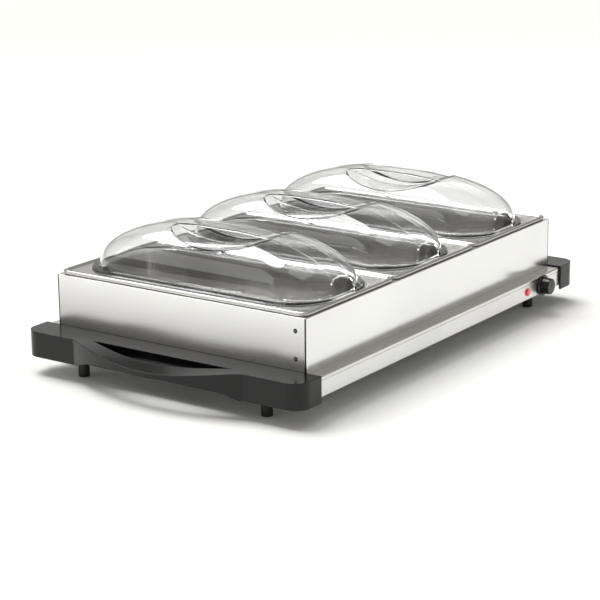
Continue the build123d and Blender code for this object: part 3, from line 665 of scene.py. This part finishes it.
def notch_outline():
    """Half bell: a flare at the flange, upright sides, then an arch."""
    half = []
    for step in range(flare_steps + 1):
        t = step / flare_steps
        x = notch_half + notch_flare * (1 - t) ** flare_power
        half.append((x, notch_low + (notch_spring - notch_low) * t))
    for step in range(1, arch_steps + 1):
        turn = math.pi / 2 * step / arch_steps
        x = notch_half * math.cos(turn) ** arch_power if step < arch_steps else 0.0
        half.append((x, notch_spring + (notch_top - notch_spring) * math.sin(turn)))
    return half


def notch_tool():
    """The bell outline drawn out along the lid."""
    half = notch_outline()
    ring = half + [(-px, pz) for px, pz in reversed(half[:-1])]
    front = [(px, -lid_y - notch_ahead, pz) for px, pz in ring]
    rear = [(px, -lid_y + notch_behind, pz) for px, pz in ring]
    return loft_rings([front, rear], cap_first=True, cap_last=True)


tool_verts, tool_faces = notch_tool()
tool_mesh = bpy.data.meshes.new("notch_tool")
tool_mesh.from_pydata([tuple(c * MM for c in v) for v in tool_verts], [], tool_faces)
tool = bpy.data.objects.new("notch_tool", tool_mesh)
scene.collection.objects.link(tool)
for place, x in pan_places:
    lid = piece(
        f"lid_{place}_clear",
        [(vx + x, vy, vz) for vx, vy, vz in lid_verts],
        lid_faces,
        f"lid_{place}_body",
        "lid_clear",
        [f"lid_{place}"],
        lid_smoothing,
    )
    tool.location = (x * MM, 0, 0)
    cut = lid.modifiers.new("notch", "BOOLEAN")
    cut.operation = "DIFFERENCE"
    cut.solver = "EXACT"
    cut.object = tool
    bpy.context.view_layer.update()
    evaluated = lid.evaluated_get(bpy.context.evaluated_depsgraph_get())
    trimmed = bpy.data.meshes.new_from_object(evaluated)
    lid.modifiers.clear()
    lid.data = trimmed
    for polygon in trimmed.polygons:
        polygon.use_smooth = True
    trimmed.set_sharp_from_angle(angle=math.radians(lid_smoothing))
bpy.data.objects.remove(tool)


# ---------------------------------------------------------------- painted shade: dark strips in the frame's corner gaps
# how far out each dark strip lies on both axes, and the heights it spans
shade_strip_x = (272.35, 273.05)
shade_strip_y = (170.35, 172.1)
shade_strip_z = (51.2, 111.4)
# painted shade: a black strip stands for the shade inside each corner gap
for side_x, word_x in ((-1, "left"), (1, "right")):
    for side_y, word_y in ((-1, "front"), (1, "rear")):
        xs = [side_x * v for v in shade_strip_x]
        ys = [side_y * v for v in shade_strip_y]
        shade_strip_verts = [(px, py, pz) for px in xs for py in ys for pz in shade_strip_z]
        shade_strip_faces = [(0, 1, 3, 2), (4, 6, 7, 5), (0, 4, 5, 1), (2, 3, 7, 6), (0, 2, 6, 4), (1, 5, 7, 3)]
        piece(f"corner_shade_strip_{word_x}_{word_y}", shade_strip_verts, shade_strip_faces, "buffet_frame", "foot_rubber", [])


# ---------------------------------------------------------------- floor, world, lights, camera
floor_data = bpy.data.meshes.new("floor")
floor_reach = 12.0                  # metres, past everything in view
floor_corners = [(floor_reach * sx, floor_reach * sy, 0) for sx, sy in ((-1, -1), (1, -1), (1, 1), (-1, 1))]
floor_data.from_pydata(floor_corners, [], [(0, 1, 2, 3)])
floor = bpy.data.objects.new("floor", floor_data)
scene.collection.objects.link(floor)
floor_look, _, floor_shader = new_material("floor_paper")
floor_shader.inputs["Base Color"].default_value = (0.93, 0.93, 0.92, 1.0)
floor_shader.inputs["Roughness"].default_value = 0.9
floor_shader.inputs["Specular IOR Level"].default_value = 0.0
floor_data.materials.append(floor_look)

world = bpy.data.worlds.new("studio")
scene.world = world
world.use_nodes = True
background = world.node_tree.nodes["Background"]
background.inputs["Color"].default_value = (1.0, 0.988, 0.915, 1.0)
background.inputs["Strength"].default_value = 0.38
scene.view_settings.view_transform = "Standard"


def aimed(name, data, place, aim):
    """A light at one place, in metres, that shines towards another."""
    light = bpy.data.objects.new(name, data)
    light.location = place
    light.rotation_mode = "QUATERNION"
    light.rotation_quaternion = (Vector(aim) - Vector(place)).to_track_quat("-Z", "Y")
    scene.collection.objects.link(light)


def soft_box(name, place, aim, width, height, glow):
    """A rectangular light whose face glows with the given radiance."""
    data = bpy.data.lights.new(name, "AREA")
    data.shape = "RECTANGLE"
    data.size = width
    data.size_y = height
    data.energy = glow * math.pi * width * height
    aimed(name, data, place, aim)


sun = bpy.data.lights.new("overhead", "SUN")
sun.energy = 2.35
sun.angle = math.radians(38.0)
sun.color = (1.0, 0.995, 0.98)
aimed("overhead", sun, (0.05, 1.15, 2.6), (0, 0, 0))
soft_box("back_card", (1.75, 1.25, 0.95), (0, 0, 0.1), 2.4, 1.1, 0.3)
soft_box("left_card", (-1.6, 1.3, 1.0), (0, 0, 0.1), 1.6, 0.9, 1.3)
soft_box("top_card", (0.1, -0.5, 1.9), (0, 0, 0.1), 1.4, 0.8, 1.2)

# camera: angles in radians, lengths in mm
azimuth = -0.96598
elevation = 0.27153
roll = -0.008935
shift_right = -20.05
shift_up = 68.23
distance = 2441.59
focal = 119.505
sensor = 36.0
# the middle of the view is a point this far below the origin, moved by the two shifts
origin_drop = 28.0

level = math.cos(elevation)
back = Vector((math.sin(azimuth) * level, -math.cos(azimuth) * level, math.sin(elevation)))
level_right = Vector((math.cos(azimuth), math.sin(azimuth), 0.0))
level_up = back.cross(level_right)
right = level_right * math.cos(roll) + level_up * math.sin(roll)
up = level_up * math.cos(roll) - level_right * math.sin(roll)
camera_data = bpy.data.cameras.new("camera")
camera_data.lens = focal
camera_data.sensor_width = sensor
camera_data.clip_start = 0.1
camera_data.clip_end = 100.0
camera = bpy.data.objects.new("camera", camera_data)
scene.collection.objects.link(camera)
camera_place = right * shift_right + up * shift_up + back * distance - Vector((0, 0, origin_drop))
camera.matrix_world = Matrix((
    (right.x, up.x, back.x, camera_place.x * MM),
    (right.y, up.y, back.y, camera_place.y * MM),
    (right.z, up.z, back.z, camera_place.z * MM),
    (0, 0, 0, 1),
))
scene.camera = camera
